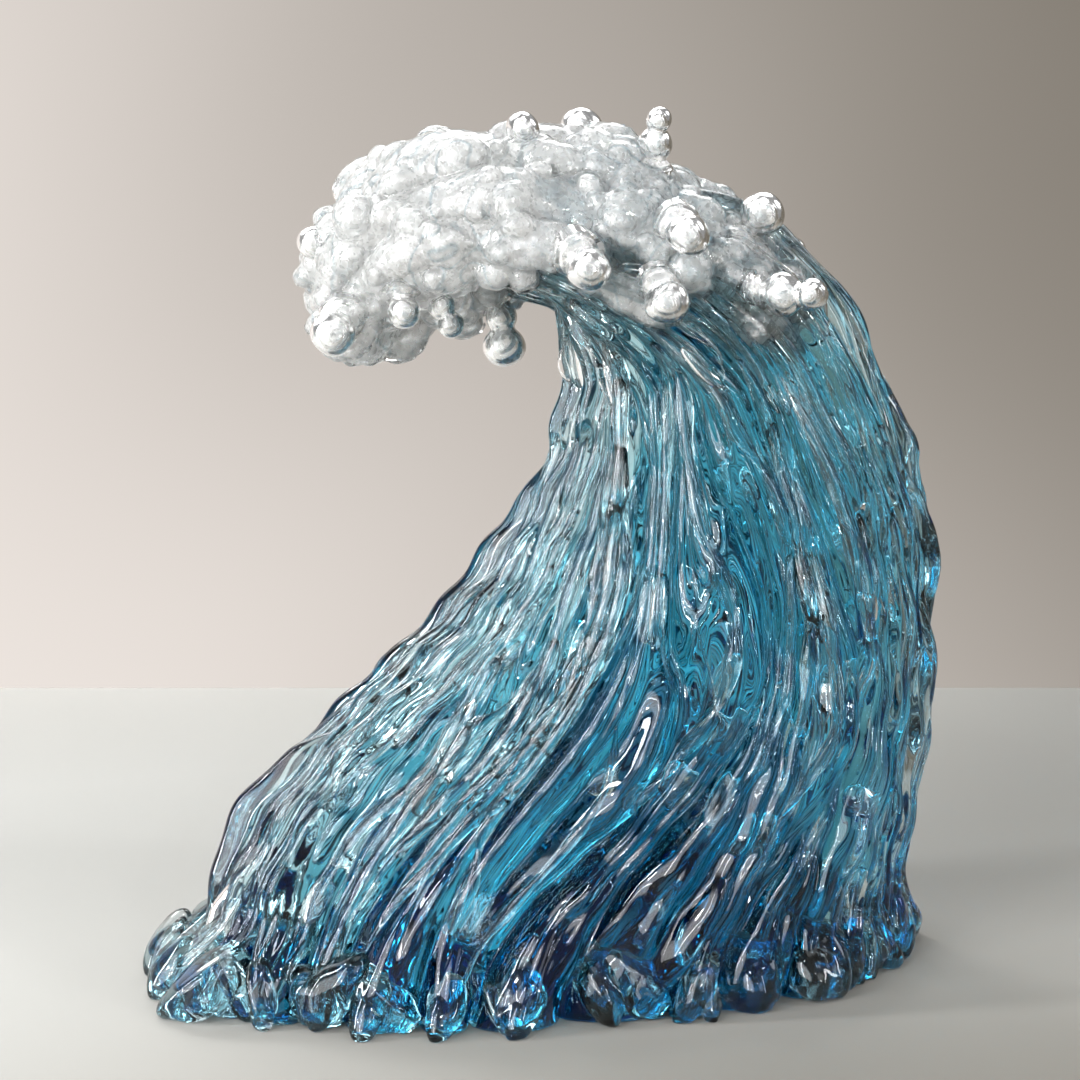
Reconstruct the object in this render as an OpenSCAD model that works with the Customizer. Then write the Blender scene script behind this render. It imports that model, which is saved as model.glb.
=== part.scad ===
// A breaking wave in solid hot-worked glass: a blue core with trails of glass laid side by side on it,
// and a clear crest that curls over, carrying thick foam trails and drops.
// The wave travels towards -X. The near side is -Y. The origin is on the table, under the core.

/* [Foot] */
// Distance from the origin to the front of the core on the table
foot_front = 96; // [90:1:104]
// Distance from the origin to the back of the core on the table
foot_back = 111; // [104:1:118]
// Half width of the core's foot on the near side
foot_near = 54; // [48:1:60]
// Half width of the core's foot on the far side
foot_far = 62; // [56:1:68]
// Sideways sweep of the foot for each mm of its length
foot_sweep = 0.2; // [0:0.01:0.3]
// How far an ordinary toe runs out past the core
toe_reach = 8.5; // [6:0.5:12]
// How much further the toes at the front tip run out
tip_reach = 20; // [10:1:26]
// Height above the table at which a toe stands out furthest
toe_height = 7; // [5:0.5:9]
// Height over which a toe thins out into its trail
toe_fall = 14; // [10:1:18]

/* [Body] */
// Height of the neck, where the crest starts
neck_height = 205; // [195:1:215]
// X of the front of the core at the neck
neck_front = 18; // [11:1:24]
// Thickness of the core at the neck, front to back
neck_depth = 82; // [74:1:90]
// Rise from the front to the back of the neck
neck_tilt = 6; // [0:1:12]
// How far the front of the core swells forwards above the foot
front_swell = 13; // [6:1:18]
// Height that the front's swell pulls the face up to
front_climb = 92; // [82:1:102]
// How far the hollow of the face is drawn in below the neck
face_hollow = 14; // [8:1:20]
// Height at which the hollow of the face turns upwards
face_bend = 100; // [90:1:110]
// How far the back swells out above the foot
back_swell = 12; // [4:1:18]
// Half width of the core at the waist on the near side
waist_near = 44; // [38:1:50]
// Half width of the core at the waist on the far side
waist_far = 46; // [40:1:52]
// Half width of the core at the neck on the near side
neck_near = 36; // [32:1:42]
// Half width of the core at the neck on the far side
neck_far = 38; // [34:1:44]

/* [Crest] */
// How far the lip reaches out in front of the origin
curl_reach = 62; // [54:1:70]
// Height of the lip's lower edge
lip_height = 221; // [213:1:229]
// Thickness of the lip
lip_depth = 22; // [18:1:26]
// How far the rounded end of the lip runs on
lip_round = 8; // [5:0.5:11]
// Height that the crest's back pulls up to
crest_climb = 276; // [268:1:284]
// Height that the crest's brow pulls up to
brow_height = 312; // [304:1:320]
// Height that the hollow under the crest pulls up to
hollow_height = 262; // [254:1:266]
// Half width of the crest on the near side
crest_near = 42; // [36:1:48]
// Half width of the crest on the far side
crest_far = 46; // [40:1:52]
// Half width of the lip on the near side
lip_near = 24; // [20:1:30]
// Half width of the lip on the far side
lip_far = 32; // [26:1:38]
// How far the crest's near edge droops into the hollow
droop_near = 8; // [0:1:12]
// How far the crest's far edge droops into the hollow
droop_far = 48; // [40:1:54]

/* [Trails] */
// Number of blue trails round the core; the foam has half as many
trail_count = 28; // [20:2:28]
// Number of strands that each blue trail is drawn into
strand_count = 3; // [2:1:3]
// Depth of the grooves between these strands
strand_groove = 1.8; // [0.5:0.1:2.5]
// Rise of a blue trail above the core at the waist
trail_rise = 7.5; // [5:0.5:8.5]
// Rise of a foam trail above the crest
foam_rise = 9; // [7:0.5:11]
// How much the foam trails swell and shrink along their length
foam_lump = 3; // [0:0.5:4]
// Share of a trail's width by which its edges wander
trail_wander = 0.18; // [0:0.01:0.22]
// Degrees by which the trails lean back at the waist
waist_sweep = 16; // [0:1:20]
// Degrees by which the trails are drawn forwards over the crest
crest_sweep = 24; // [0:1:28]

/* [Drops] */
// Radius of the largest drops
drop_large = 7; // [5.5:0.5:8]
// Radius of the middle drops
drop_middle = 5.5; // [4.5:0.5:6.5]
// Radius of the smallest drops
drop_small = 4.3; // [3.5:0.1:5]
// Length of the necks that carry the drops
drop_neck = 2.5; // [2:0.5:4]

/* [Hidden] */
body_rings = 12;
crest_rings = 12;
round_rings = 3;
hood_ring = body_rings + 6;
last_ring = body_rings + crest_rings + round_rings;
foam_last = last_ring - 1;
arc_steps = 8;
strand_steps = 3;
strand_wander = 0.15;
toe_tuck = 2;
foam_count = trail_count / 2;
foam_fullness = 0.6;
foam_delay = 5.2;
late_near = 0.7;
late_far = -0.35;
corner_power = 0.86;
foot_packing = 1.7;
brow_forward = 48;
hollow_forward = 28;
crest_start_back = 30;
neck_pull = 45;
bud_steps = 8;
ball_merge = 0.18;

front_curve = [
    [-foot_front, 0],
    [-foot_front - front_swell, front_climb],
    [neck_front - face_hollow, face_bend],
    [neck_front, neck_height]
];
back_top = [neck_front + neck_depth, neck_height + neck_tilt];
back_curve = [
    [foot_back, 0],
    [foot_back + back_swell, 0.36 * back_top[1]],
    [back_top[0] + 3 * back_swell, 0.71 * back_top[1]],
    back_top
];
lip_low = [-curl_reach, lip_height];
lip_high = [-curl_reach - 0.3 * lip_depth, lip_height + 0.95 * lip_depth];
under_curve = [
    [neck_front, neck_height],
    [neck_front, neck_height + neck_pull],
    [-hollow_forward, hollow_height],
    lip_low
];
over_curve = [
    back_top,
    [back_top[0] - crest_start_back, crest_climb],
    [-brow_forward, brow_height],
    lip_high
];

near_widths = [foot_near, waist_near, neck_near, crest_near, lip_near];
far_widths = [foot_far, waist_far, neck_far, crest_far, lip_far];
near_droops = [0, 0, 0, droop_near, droop_near / 2];
far_droops = [0, 0, droop_far / 4, droop_far, droop_far / 2];
sweeps = [0, waist_sweep, -crest_sweep / 3, -crest_sweep, -crest_sweep];

// Drops: name, degrees round from the front, place along the crest, radius, pull, radius of a second ball.
// The pull is added to the direction that the drop's neck takes away from the foam.
DROPS = [
    ["crown_drop", 167, 0.5, drop_large, [0, 0, 0], 0],
    ["crown_bead", 193, 0.42, drop_middle, [-0.25, 0, 0.2], drop_small],
    ["brow_drop", 193, 0.58, drop_middle, [-0.3, 0, 0.4], 0],
    ["front_drop", 167, 0.92, drop_small, [0.4, 0, 0.3], 0],
    ["shoulder_drop", 193, 0.25, drop_large, [0, 0, 0], 0],
    ["back_drop", 167, 0.17, drop_small, [0, 0, -0.1], 0],
    ["back_tail", 219, 0.17, drop_large, [0.8, 0, -0.2], drop_middle],
    ["side_coil", 219, 0.33, drop_large, [0.1, -0.4, -0.9], 0],
    ["side_drop", 244, 0.25, drop_large, [0.1, 0, -0.5], 0],
    ["side_finger", 244, 0.42, drop_large, [0.3, 0, -0.4], 0],
    ["lip_lobe", 193, 1, drop_middle, [0.5, -1, -0.3], 0],
    ["lip_finger", 244, 1, drop_large, [-0.2, 0, -0.4], 0],
    ["hollow_lobe", 270, 0.83, drop_middle, [0, 0, -0.5], 0],
    ["hollow_drop", 296, 0.75, drop_small, [0.2, 0, -0.6], drop_small],
    ["far_lobe", 64, 0.33, drop_middle, [0, 0.2, -0.4], drop_large]
];

function two_digits(n) = n < 10 ? str("0", n) : str(n);
function trail_name(k) = str("blue_trail_", two_digits(k + 1));
function foam_name(m) = str("foam_trail_", two_digits(m + 1));

// Curves

function bezier(p, t) =
    pow(1 - t, 3) * p[0] + 3 * t * pow(1 - t, 2) * p[1] + 3 * t * t * (1 - t) * p[2] + pow(t, 3) * p[3];

// A smooth curve through values that are spaced evenly over x from 0 to 1
function through(v, x) =
    let (
        n = len(v) - 1,
        i = max(0, min(floor(x * n), n - 1)),
        f = min(x * n, n) - i,
        a = v[max(i - 1, 0)],
        b = v[i],
        c = v[i + 1],
        d = v[min(i + 2, n)]
    )
    0.5 * (2 * b + (c - a) * f + (2 * a - 5 * b + 4 * c - d) * f * f + (3 * b - a - 3 * c + d) * f * f * f);

// Even but irregular numbers between -1 and 1
function vary(k, seed) = sin(137.5 * k + 71 * seed) * cos(53 * k + 29 * seed);

function signed_power(x) = sign(x) * pow(abs(x), corner_power);

// The wave's skin: s runs from 0 on the table to 1 at the neck and 2 at the lip, and past 2 over its end

function ring_place(j) =
    j <= body_rings ? pow(j / body_rings, foot_packing) :
    j <= body_rings + crest_rings ? 1 + (j - body_rings) / crest_rings :
    2 + 0.85 * (j - body_rings - crest_rings) / round_rings;

function nearest_ring(s) = body_rings + round((s - 1) * crest_rings);

function front_at(s) = s <= 1 ? bezier(front_curve, s) : bezier(under_curve, min(s - 1, 1));
function back_at(s) = s <= 1 ? bezier(back_curve, s) : bezier(over_curve, min(s - 1, 1));

// A ring: its middle, the direction to its back, its direction of travel, half depth and widths' scale
function ring_frame(s) =
    let (
        f = front_at(s),
        b = back_at(s),
        back_way = (b - f) / norm(b - f),
        travel = [-back_way[1], back_way[0]],
        over = max(0, s - 2),
        shrink = cos(90 * over)
    )
    [(f + b) / 2 + travel * lip_round * sin(90 * over), back_way, travel, norm(b - f) / 2 * shrink, shrink];

function edge_angle(k, s) =
    let (a = 360 * k / trail_count)
    a + through(sweeps, s / 2) * sin(a)
    + trail_wander * 360 / trail_count * sin(430 * s + 137.5 * k);

function skin_point(s, a) =
    let (
        r = ring_frame(s),
        u = signed_power(cos(a)),
        v = signed_power(sin(a)),
        width = through(v < 0 ? near_widths : far_widths, min(s, 2) / 2) * r[4],
        droop = through(v < 0 ? near_droops : far_droops, min(s, 2) / 2) * r[4],
        p = r[0] - r[1] * (r[3] * u + droop * v * v),
        sweep = foot_sweep * max(0, 1 - s)
    )
    [p[0], v * width + sweep * (p[0] - r[0][0]), p[1]];

// Corner k of ring j, shared by the core, the hood and the trails on them
function corner(k, j) =
    let (s = ring_place(j))
    skin_point(s, edge_angle(k % trail_count, s));

function travel_at(j) =
    let (t = ring_frame(ring_place(j))[2])
    [t[0], 0, t[1]];

// Point above the line from a to b of ring j: at the share x of the way along it, raised by up
function raised(a, b, j, x, up) =
    let (out = cross(travel_at(j), b - a))
    a + (b - a) * x + out / norm(out) * up;

// Lofts: the rings have n points each, and the segments from seat on are split along the other diagonal,
// as the same corners are split on the piece that carries them

function loft_faces(rings, n, seat) = concat(
    [[for (i = [n - 1 : -1 : 0]) i]],
    [for (j = [0 : rings - 2], i = [0 : n - 1], half = [0, 1])
        let (
            p = j * n + i,
            q = j * n + (i + 1) % n,
            up = p + n,
            uq = q + n
        )
        i < seat ? (half == 0 ? [p, uq, up] : [p, q, uq]) : (half == 0 ? [p, q, up] : [q, uq, up])],
    [[for (i = [0 : n - 1]) (rings - 1) * n + i]]
);

module loft(rings, seat) {
    n = len(rings[0]);
    polyhedron(points = [for (r = rings) each r], faces = loft_faces(len(rings), n, seat), convexity = 10);
}

// Blue core from the table to the crest
module core_gather() {
    rings = [for (j = [0 : hood_ring]) [for (k = [0 : trail_count - 1]) corner(k, j)]];
    color("#123f55") loft(rings, trail_count);
}

// Clear hood from the core's end to the rounded lip
module crest_hood() {
    rings = [for (j = [hood_ring : last_ring]) [for (k = [0 : trail_count - 1]) corner(k, j)]];
    color("#e6eeee") loft(rings, trail_count);
}

// The ring at which the foam trail m takes over from the two blue trails under it: late over the hollow,
// and later on the near side than on the far side
function foam_start(m) =
    let (
        a = 360 * (m + 0.5) / foam_count,
        late = max(0, min(1, cos(a) + (a > 180 ? late_near : late_far)))
    )
    body_rings + 1 + round(foam_delay * late);

// Toes stand out at toe_height above the table, are tucked in under that, and thin out into their trails.
// Those at the front tip run out furthest.
function toe_rise(k, height) =
    let (
        a = 360 * (k + 0.5) / trail_count,
        off_front = min(a, 360 - a) / 30,
        reach = toe_reach * (1 + 0.5 * vary(k, 1)) + tip_reach * exp(-off_front * off_front),
        middle = toe_height * (1 + 0.25 * vary(k, 4)),
        off = height - middle
    )
    reach * (off < 0 ? sqrt(1 - pow(off / (middle + toe_tuck), 2)) : exp(-pow(off / toe_fall, 2)));

function blue_rise(k, j, a, b) =
    let (
        to_end = (foam_start(floor(k / 2)) - j) / 3,
        swell = 1 + 0.2 * vary(k, 2 + floor(j / 3)),
        taper = min(1, 0.45 + 0.55 * to_end)
    )
    min(trail_rise * swell * taper, 0.6 * norm(b - a)) + toe_rise(k, a[2]);

// Share of a trail's width at which the groove g lies, the first and last being the trail's edges
function groove_place(k, g, s) =
    g == 0 ? 0 :
    g == strand_count ? 1 :
    (g + strand_wander * sin(310 * s + 137.5 * k + 120 * g)) / strand_count;

// Blue trail's ring on the corners a and b: strands side by side over half an ellipse
function blue_ring(k, j) =
    let (
        a = corner(k, j),
        b = corner(k + 1, j),
        s = ring_place(j),
        rise = blue_rise(k, j, a, b),
        groove = min(strand_groove, 0.35 * rise)
    )
    concat(
        [for (g = [0 : strand_count - 1], i = [0 : strand_steps - 1])
            let (
                f = i / strand_steps,
                x = groove_place(k, g, s) * (1 - f) + groove_place(k, g + 1, s) * f,
                up = rise * sqrt(1 - pow(2 * x - 1, 2)) - groove * (1 - sin(180 * f))
            )
            x == 0 ? a : raised(a, b, j, x, up)],
        [b]
    );

// Blue trail from its toe on the table to its tail under the foam
module blue_trail(k) {
    rings = [for (j = [0 : foam_start(floor(k / 2))]) blue_ring(k, j)];
    color(k % 3 == 0 ? "#7fb4c8" : k % 3 == 1 ? "#2f7fa5" : "#1f617f")
        loft(rings, strand_count * strand_steps);
}

function foam_height(m, j) =
    let (
        start = foam_start(m),
        from_start = (j - start) / 2,
        to_end = (foam_last - j) / 2,
        hollow_side = 0.5 + 0.5 * cos(360 * (m + 0.5) / foam_count),
        grow = 0.45 + 0.55 * sin(90 * min(1, from_start)),
        fall = 0.3 + 0.7 * sin(90 * min(1, to_end))
    )
    (foam_rise * (1 - 0.4 * hollow_side) + foam_lump * sin(97 * j + 137.5 * m)) * grow * fall;

// One ring of foam trail m: a full arch, and the corner under the middle of it
function foam_ring(m, j) =
    let (
        a = corner(2 * m, j),
        b = corner(2 * m + 2, j),
        height = foam_height(m, j)
    )
    concat(
        [for (i = [0 : arc_steps])
            let (
                x = (1 - cos(180 * i / arc_steps)) / 2,
                up = height * pow(sin(180 * i / arc_steps), foam_fullness)
            )
            i == 0 ? a : i == arc_steps ? b : raised(a, b, j, x, up)],
        [corner(2 * m + 1, j)]
    );

// Foam trail from the end of the blue ones, over the crest, to the lip
module foam_trail(m) {
    rings = [for (j = [foam_start(m) : foam_last]) foam_ring(m, j)];
    color(m % 2 == 0 ? "#f4f6f5" : "#e2eaeb") loft(rings, arc_steps);
}

// Seats of drops: three by three points of a foam trail's own surface

function seat_points(m, j) = [for (dj = [-1 : 1], di = [-1 : 1]) foam_ring(m, j + dj)[arc_steps / 2 + di]];

// The eight outer points of the seat, in order round it
seat_rim = [0, 1, 2, 5, 8, 7, 6, 3];

// Part of v that lies square to the direction way
function square_to(v, way) = v - way * (v * way);

// A neck that grows from its seat, draws in, and ends in a ring of the given radius about the point at
module neck(seat, at, radius) {
    way = (at - seat[4]) / norm(at - seat[4]);
    foot = [for (i = seat_rim)
        let (
            v = seat[i] - seat[4],
            flat = square_to(v, way)
        )
        seat[4] + flat * max(0.45, 1.1 * radius / norm(flat)) + way * (0.35 * v * way + 0.3 * drop_neck)];
    ring = [for (i = seat_rim)
        let (flat = square_to(seat[i] - seat[4], way))
        at + flat / norm(flat) * radius];
    under = [for (j = [0, 1], i = [0, 1], half = [0, 1])
        let (
            p = 3 * j + i,
            q = p + 1,
            up = p + 3,
            uq = p + 4
        )
        half == 0 ? [p, up, uq] : [p, uq, q]];
    flare = [for (i = [0 : bud_steps - 1], half = [0, 1])
        let (
            n = (i + 1) % bud_steps,
            p = seat_rim[i],
            q = seat_rim[n]
        )
        half == 0 ? [p, q, 9 + i] : [q, 9 + n, 9 + i]];
    shank = [for (i = [0 : bud_steps - 1], half = [0, 1])
        let (
            n = (i + 1) % bud_steps,
            up = 9 + bud_steps
        )
        half == 0 ? [9 + i, 9 + n, up + i] : [9 + n, up + n, up + i]];
    polyhedron(
        points = concat(seat, foot, ring),
        faces = concat(under, flare, shank, [[for (i = [0 : bud_steps - 1]) 9 + bud_steps + i]]),
        convexity = 4
    );
}

// Ball whose poles lie along the direction way, so that its neck meets it at a pole
module ball(at, way, radius) {
    translate(at) rotate([0, acos(way[2]), atan2(way[1], way[0])]) sphere(r = radius, $fn = 32);
}

// Drop on its neck, and a second ball run together with the first where it has one
module drop(d) {
    m = floor(d[1] / 360 * foam_count) % foam_count;
    j = max(foam_start(m) + 1, min(nearest_ring(1 + d[2]), foam_last - 1));
    seat = seat_points(m, j);
    out = cross(seat[7] - seat[1], seat[5] - seat[3]);
    lean = out / norm(out) + d[4];
    way = lean / norm(lean);
    first = seat[4] + way * (drop_neck + 0.95 * d[3]);
    second = first + way * (1 - ball_merge) * (d[3] + d[5]);
    color("#dfe9ea") union() {
        neck(seat, first, 0.6 * d[3]);
        ball(first, way, d[3]);
        if (d[5] > 0) ball(second, way, d[5]);
    }
}

core_gather();
crest_hood();
for (k = [0 : trail_count - 1]) blue_trail(k);
for (m = [0 : foam_count - 1]) foam_trail(m);
for (d = DROPS) drop(d);
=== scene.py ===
"""Looks of the glass wave: one fused blue body, a darker core inside it, the frosty crest and its drops.

Lengths are in millimetres until a mesh is made. The surface formulas are the same as those of the solids.
"""
import math

import bmesh
import bpy
import numpy as np
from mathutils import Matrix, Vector


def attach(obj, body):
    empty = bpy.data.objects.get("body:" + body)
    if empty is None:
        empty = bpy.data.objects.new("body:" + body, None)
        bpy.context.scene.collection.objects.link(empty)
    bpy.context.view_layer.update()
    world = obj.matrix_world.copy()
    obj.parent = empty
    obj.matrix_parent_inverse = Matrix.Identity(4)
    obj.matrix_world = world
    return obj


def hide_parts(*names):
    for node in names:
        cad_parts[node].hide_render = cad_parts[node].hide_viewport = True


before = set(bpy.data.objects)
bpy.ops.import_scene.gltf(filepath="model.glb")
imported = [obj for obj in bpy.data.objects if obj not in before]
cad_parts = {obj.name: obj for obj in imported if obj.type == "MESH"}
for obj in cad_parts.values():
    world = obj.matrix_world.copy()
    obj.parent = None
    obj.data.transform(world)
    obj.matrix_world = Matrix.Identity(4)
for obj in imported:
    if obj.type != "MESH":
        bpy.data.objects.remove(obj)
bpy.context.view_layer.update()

MM = 0.001
rng = np.random.default_rng(7)

# Sizes of the wave, as in the solids

FOOT_FRONT, FOOT_BACK, FOOT_NEAR, FOOT_FAR = 96, 111, 54, 62
FOOT_SWEEP = 0.2
TOE_REACH, TIP_REACH, TOE_HEIGHT, TOE_FALL, TOE_TUCK = 8.5, 20, 7, 14, 2
NECK_HEIGHT, NECK_FRONT, NECK_DEPTH, NECK_TILT = 205, 18, 82, 6
FRONT_SWELL, FRONT_CLIMB, FACE_HOLLOW, FACE_BEND, BACK_SWELL = 13, 92, 14, 100, 12
WAIST_NEAR, WAIST_FAR, NECK_NEAR, NECK_FAR = 44, 46, 36, 38
CURL_REACH, LIP_HEIGHT, LIP_DEPTH, LIP_ROUND = 62, 221, 22, 8
CREST_CLIMB, BROW_HEIGHT, HOLLOW_HEIGHT = 276, 312, 262
CREST_NEAR, CREST_FAR, LIP_NEAR, LIP_FAR = 42, 46, 24, 32
DROOP_NEAR, DROOP_FAR = 8, 48
TRAILS = 28
TRAIL_RISE, FOAM_RISE, FOAM_LUMP, FOAM_FULLNESS = 7.5, 9, 3, 0.6
STRANDS, STRAND_GROOVE, STRAND_WANDER = 3, 1.8, 0.15
FOAM_DELAY, LATE_NEAR, LATE_FAR = 5.2, 0.7, -0.35
TRAIL_WANDER, WAIST_SWEEP, CREST_SWEEP = 0.18, 16, 24
DROP_LARGE, DROP_MIDDLE, DROP_SMALL, DROP_NECK = 7, 5.5, 4.3, 2.5
BODY_RINGS, CREST_RINGS, LAST_RING = 12, 12, 27
CORNER_POWER = 0.86
BROW_FORWARD, HOLLOW_FORWARD, CREST_START_BACK, NECK_PULL = 48, 28, 30, 45
BALL_MERGE = 0.18

# Drops: name, degrees round from the front, place along the crest, radius, pull, radius of a second ball
DROPS = [
    ("crown_drop", 167, 0.5, DROP_LARGE, (0, 0, 0), 0),
    ("crown_bead", 193, 0.42, DROP_MIDDLE, (-0.25, 0, 0.2), DROP_SMALL),
    ("brow_drop", 193, 0.58, DROP_MIDDLE, (-0.3, 0, 0.4), 0),
    ("front_drop", 167, 0.92, DROP_SMALL, (0.4, 0, 0.3), 0),
    ("shoulder_drop", 193, 0.25, DROP_LARGE, (0, 0, 0), 0),
    ("back_drop", 167, 0.17, DROP_SMALL, (0, 0, -0.1), 0),
    ("back_tail", 219, 0.17, DROP_LARGE, (0.8, 0, -0.2), DROP_MIDDLE),
    ("side_coil", 219, 0.33, DROP_LARGE, (0.1, -0.4, -0.9), 0),
    ("side_drop", 244, 0.25, DROP_LARGE, (0.1, 0, -0.5), 0),
    ("side_finger", 244, 0.42, DROP_LARGE, (0.3, 0, -0.4), 0),
    ("lip_lobe", 193, 1, DROP_MIDDLE, (0.5, -1, -0.3), 0),
    ("lip_finger", 244, 1, DROP_LARGE, (-0.2, 0, -0.4), 0),
    ("hollow_lobe", 270, 0.83, DROP_MIDDLE, (0, 0, -0.5), 0),
    ("hollow_drop", 296, 0.75, DROP_SMALL, (0.2, 0, -0.6), DROP_SMALL),
    ("far_lobe", 64, 0.33, DROP_MIDDLE, (0, 0.2, -0.4), DROP_LARGE),
]

# Curves of the wave's profile, as in the solids
back_top = (NECK_FRONT + NECK_DEPTH, NECK_HEIGHT + NECK_TILT)
front_curve = [
    (-FOOT_FRONT, 0),
    (-FOOT_FRONT - FRONT_SWELL, FRONT_CLIMB),
    (NECK_FRONT - FACE_HOLLOW, FACE_BEND),
    (NECK_FRONT, NECK_HEIGHT),
]
back_curve = [
    (FOOT_BACK, 0),
    (FOOT_BACK + BACK_SWELL, 0.36 * back_top[1]),
    (back_top[0] + 3 * BACK_SWELL, 0.71 * back_top[1]),
    back_top,
]
under_curve = [
    (NECK_FRONT, NECK_HEIGHT),
    (NECK_FRONT, NECK_HEIGHT + NECK_PULL),
    (-HOLLOW_FORWARD, HOLLOW_HEIGHT),
    (-CURL_REACH, LIP_HEIGHT),
]
over_curve = [
    back_top,
    (back_top[0] - CREST_START_BACK, CREST_CLIMB),
    (-BROW_FORWARD, BROW_HEIGHT),
    (-CURL_REACH - 0.3 * LIP_DEPTH, LIP_HEIGHT + 0.95 * LIP_DEPTH),
]
near_widths = [FOOT_NEAR, WAIST_NEAR, NECK_NEAR, CREST_NEAR, LIP_NEAR]
far_widths = [FOOT_FAR, WAIST_FAR, NECK_FAR, CREST_FAR, LIP_FAR]
near_droops = [0, 0, 0, DROOP_NEAR, DROOP_NEAR / 2]
far_droops = [0, 0, DROOP_FAR / 4, DROOP_FAR, DROOP_FAR / 2]
sweeps = [0, WAIST_SWEEP, -CREST_SWEEP / 3, -CREST_SWEEP, -CREST_SWEEP]


# Formulas of the wave's skin

def sin_deg(x):
    return np.sin(np.radians(x))


def cos_deg(x):
    return np.cos(np.radians(x))


def bezier(points, t):
    """Points of a cubic curve with four control points."""
    p = np.array(points, float)
    t = np.asarray(t, float)[..., None]
    return (1 - t) ** 3 * p[0] + 3 * t * (1 - t) ** 2 * p[1] + 3 * t * t * (1 - t) * p[2] + t ** 3 * p[3]


def through(values, x):
    """Smooth curve through evenly spaced values, with x from 0 to 1."""
    v = np.array(values, float)
    n = len(v) - 1
    x = np.asarray(x, float)
    i = np.clip(np.floor(x * n).astype(int), 0, n - 1)
    f = np.minimum(x * n, n) - i
    a, b, c, d = v[np.maximum(i - 1, 0)], v[i], v[i + 1], v[np.minimum(i + 2, n)]
    square, cube = 2 * a - 5 * b + 4 * c - d, 3 * b - a - 3 * c + d
    return 0.5 * (2 * b + (c - a) * f + square * f ** 2 + cube * f ** 3)


def vary(k, seed):
    """Number between -1 and 1 that differs from trail to trail."""
    return sin_deg(137.5 * k + 71 * seed) * cos_deg(53 * k + 29 * seed)


def signed_power(x):
    return np.sign(x) * np.abs(x) ** CORNER_POWER


def ring_frame(s):
    """Middle, direction to the back, half depth and scale of the rings at s.

    s goes from 0 at the table to 1 at the neck and 2 at the lip, and on over the rounded lip.
    """
    s = np.asarray(s, float)
    low = (s <= 1)[..., None]
    up, crest = np.clip(s, 0, 1), np.clip(s - 1, 0, 1)
    front = np.where(low, bezier(front_curve, up), bezier(under_curve, crest))
    back = np.where(low, bezier(back_curve, up), bezier(over_curve, crest))
    span = np.linalg.norm(back - front, axis=-1, keepdims=True)
    way = (back - front) / span
    travel = np.stack([-way[..., 1], way[..., 0]], -1)
    over = np.maximum(0, s - 2)[..., None]
    shrink = cos_deg(90 * over)
    middle = (front + back) / 2 + travel * LIP_ROUND * sin_deg(90 * over)
    return middle, way, (span / 2 * shrink)[..., 0], shrink[..., 0]


def skin_point(s, a):
    """Points of the skin at s and at a degrees round from the front. s and a have the same shape."""
    middle, way, half_depth, shrink = ring_frame(s)
    u, v = signed_power(cos_deg(a)), signed_power(sin_deg(a))
    x = np.minimum(s, 2) / 2
    near = v < 0
    width = np.where(near, through(near_widths, x), through(far_widths, x)) * shrink
    droop = np.where(near, through(near_droops, x), through(far_droops, x)) * shrink
    p = middle - way * (half_depth * u + droop * v * v)[..., None]
    sweep = FOOT_SWEEP * np.maximum(0, 1 - s)
    return np.stack([p[..., 0], v * width + sweep * (p[..., 0] - middle[..., 0]), p[..., 1]], -1)


def edge_angle(k, s):
    """Degrees round from the front at which the edge k of the trails lies at s."""
    a = 360 * k / TRAILS
    wander = TRAIL_WANDER * 360 / TRAILS * sin_deg(430 * s + 137.5 * (k % TRAILS))
    return a + through(sweeps, s / 2) * sin_deg(a) + wander


def angle_at(u, s):
    """Degrees round at u trails from the front: even between the edges of the trail that u lies in."""
    k = np.floor(u)
    start, end = edge_angle(k, s), edge_angle(k + 1, s)
    return start + (u - k) * (end - start)


def foam_start(m):
    """Ring at which the foam trail m takes over from the two blue trails under it."""
    a = 360 * (m + 0.5) / (TRAILS / 2)
    late = np.clip(cos_deg(a) + np.where(a > 180, LATE_NEAR, LATE_FAR), 0, 1)
    return BODY_RINGS + 1 + np.round(FOAM_DELAY * late)


def ring_at(s):
    """Ring number at s on the crest, with fractions."""
    return np.where(s <= 2, BODY_RINGS + (s - 1) * CREST_RINGS, BODY_RINGS + CREST_RINGS + (s - 2) * 3 / 0.85)


def smooth_along(p, times):
    """Evens out points along the first axis, with both ends kept."""
    for _ in range(times):
        p = np.concatenate([p[:1], (p[:-2] + 2 * p[1:-1] + p[2:]) / 4, p[-1:]])
    return p


def grid_normals(p):
    """Outward unit normals of a grid whose second axis closes on itself."""
    along = np.gradient(p, axis=0)
    round_it = np.roll(p, -1, 1) - np.roll(p, 1, 1)
    n = np.cross(round_it, along)
    n /= np.maximum(np.linalg.norm(n, axis=-1, keepdims=True), 1e-9)
    return -n


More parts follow.
